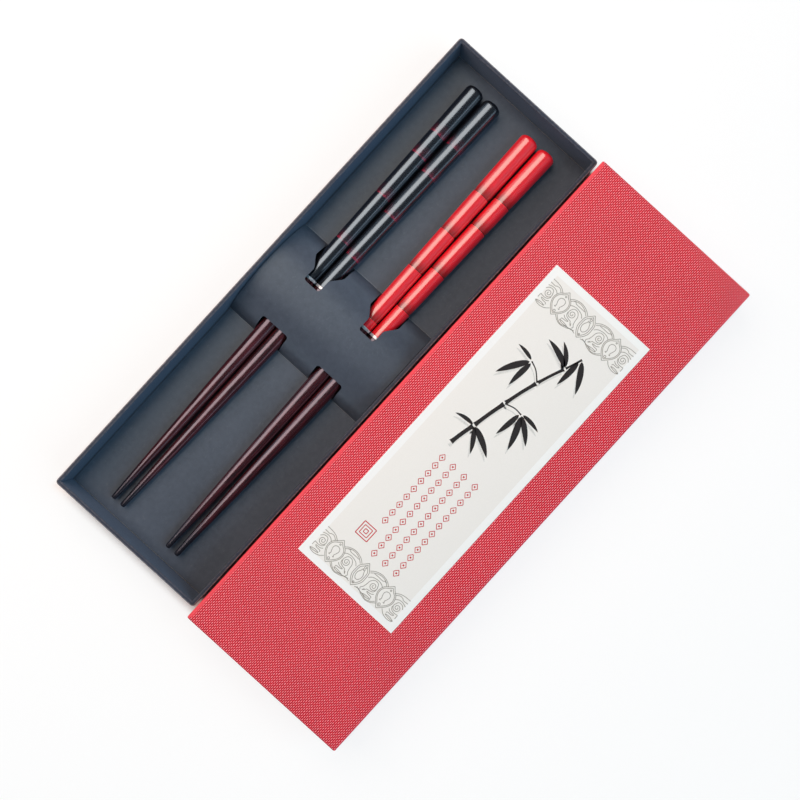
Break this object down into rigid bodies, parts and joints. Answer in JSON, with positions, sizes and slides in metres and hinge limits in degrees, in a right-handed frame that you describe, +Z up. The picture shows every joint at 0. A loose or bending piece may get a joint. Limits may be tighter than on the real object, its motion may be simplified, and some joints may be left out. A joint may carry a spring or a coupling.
{
  "type": "chopstick gift case",
  "caption": "Rigid paper-covered tray with an arched card insert that holds lacquered chopsticks in pairs, and a full-depth embossed lid with a paper label lying beside it.",
  "frame": {"origin": "centre of the tray's underside, on the table", "axes": "+X across the case towards the lid, +Y along the chopsticks towards their handles, +Z up out of the tray"},
  "size_m": [0.1547, 0.2458, 0.0212],
  "materials": {
    "tray_paper": "matt dark blue-grey covering paper with a fine tooth",
    "insert_card": "matt charcoal card, scored at the folds",
    "lid_paper": "red covering paper with a fine embossed dot grain",
    "label_paper": "matt white printed paper",
    "liner_paper": "matt charcoal lining paper",
    "grey_board": "uncoated grey board",
    "stay_paper": "gummed brown paper tape",
    "black_lacquer": "gloss black lacquer with shaded red bamboo joints",
    "red_lacquer": "gloss red lacquer with shaded brown bamboo joints",
    "dark_wood": "dark red-brown hardwood, oiled to a sheen",
    "ring_metal": "polished metal"
  },
  "bodies": {
    "tray": {"tray_board": "grey_board", "tray_stays": "stay_paper", "tray_wrap": "tray_paper", "tray_liner": "liner_paper"},
    "insert": {"insert_card": "insert_card"},
    "black_left_chopstick": {"black_left_handle": "black_lacquer", "black_left_ring": "ring_metal", "black_left_shaft": "dark_wood"},
    "black_right_chopstick": {"black_right_handle": "black_lacquer", "black_right_ring": "ring_metal", "black_right_shaft": "dark_wood"},
    "red_left_chopstick": {"red_left_handle": "red_lacquer", "red_left_ring": "ring_metal", "red_left_shaft": "dark_wood"},
    "red_right_chopstick": {"red_right_handle": "red_lacquer", "red_right_ring": "ring_metal", "red_right_shaft": "dark_wood"},
    "lid": {"lid_board": "grey_board", "lid_stays": "stay_paper", "lid_wrap": "lid_paper", "lid_liner": "liner_paper", "lid_label": "label_paper"}
  },
  "joints": [
    {"name": "insert_lift", "type": "slide", "parent": "tray", "child": "insert", "axis": [0, 0, 1], "range_m": [0, 0.06]},
    {"name": "black_left_slide", "type": "slide", "parent": "insert", "child": "black_left_chopstick", "axis": [-0.0098, 1, 0], "range_m": [-0.0055, 0.006]},
    {"name": "black_right_slide", "type": "slide", "parent": "insert", "child": "black_right_chopstick", "axis": [0.0098, 1, 0], "range_m": [-0.0055, 0.006]},
    {"name": "red_left_slide", "type": "slide", "parent": "insert", "child": "red_left_chopstick", "axis": [-0.0098, 1, 0], "range_m": [-0.0055, 0.006]},
    {"name": "red_right_slide", "type": "slide", "parent": "insert", "child": "red_right_chopstick", "axis": [0.0098, 1, 0], "range_m": [-0.0055, 0.006]},
    {"name": "lid_lift", "type": "slide", "parent": "tray", "child": "lid", "axis": [0, 0, 1], "range_m": [0, 0.06]}
  ]
}
